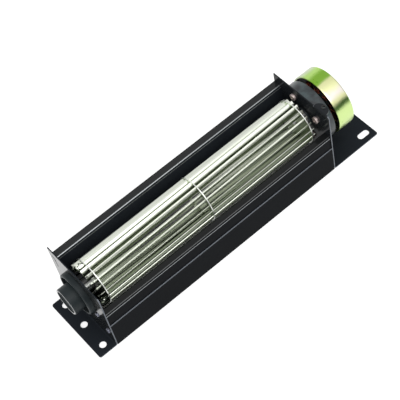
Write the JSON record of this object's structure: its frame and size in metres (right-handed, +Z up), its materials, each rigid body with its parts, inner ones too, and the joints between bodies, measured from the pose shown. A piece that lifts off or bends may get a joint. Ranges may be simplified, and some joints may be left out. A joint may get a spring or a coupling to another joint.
{
  "type": "cross flow fan",
  "caption": "Tangential blower with a long skewed-blade metal impeller in a folded black steel housing with mounting feet and an external-rotor motor.",
  "frame": {"origin": "on the base plane under the feet, midway between the ends of the feet and midway between front and back", "axes": "+X along the fan axis towards the motor, +Y from the tongue side to the scroll side, +Z up"},
  "size_m": [0.3236, 0.071, 0.0767],
  "materials": {
    "black_sheet": "gloss black powder paint",
    "dark_casting": "slate grey satin paint",
    "holder_plastic": "slate grey moulded plastic",
    "blade_metal": "bright rolled sheet",
    "yellow_zinc": "yellow-green passivated zinc plate",
    "zinc_steel": "bright zinc plate",
    "ground_steel": "ground steel",
    "bearing_bronze": "oil-filled sintered bronze",
    "soft_rubber": "matt black rubber",
    "copper_wire": "enamelled copper wire",
    "core_steel": "varnished laminations",
    "ferrite": "matt ferrite"
  },
  "bodies": {
    "housing": {"bearing_cap": "holder_plastic", "bearing_holder": "holder_plastic", "front_lower_panel": "black_sheet", "front_tongue": "black_sheet", "holder_screws": "zinc_steel", "lead_grommet": "soft_rubber", "left_end_plate": "black_sheet", "motor_bearing_inner": "ground_steel", "motor_bearing_outer": "ground_steel", "motor_body": "dark_casting", "motor_screws": "zinc_steel", "plate_rivets": "zinc_steel", "rear_scroll": "black_sheet", "right_end_plate": "black_sheet", "rubber_bush": "soft_rubber", "sleeve_bearing": "bearing_bronze", "stator_core": "core_steel", "stator_windings": "copper_wire"},
    "rotor": {"bearing_end_disc": "blade_metal", "blade_01": "blade_metal", "blade_02": "blade_metal", "blade_03": "blade_metal", "blade_04": "blade_metal", "blade_05": "blade_metal", "blade_06": "blade_metal", "blade_07": "blade_metal", "blade_08": "blade_metal", "blade_09": "blade_metal", "blade_10": "blade_metal", "blade_11": "blade_metal", "blade_12": "blade_metal", "blade_13": "blade_metal", "blade_14": "blade_metal", "blade_15": "blade_metal", "blade_16": "blade_metal", "blade_17": "blade_metal", "blade_18": "blade_metal", "blade_19": "blade_metal", "blade_20": "blade_metal", "hub_grub_screw": "zinc_steel", "impeller_hub": "blade_metal", "magnet_ring": "ferrite", "middle_ring": "blade_metal", "motor_end_disc": "blade_metal", "motor_shaft": "ground_steel", "rotor_can": "yellow_zinc", "stub_shaft": "ground_steel"}
  },
  "joints": [
    {"name": "rotor_spin", "type": "hinge", "parent": "housing", "child": "rotor", "pos_m": [0, 0, 0.0468], "axis": [1, 0, 0], "continuous": true}
  ]
}
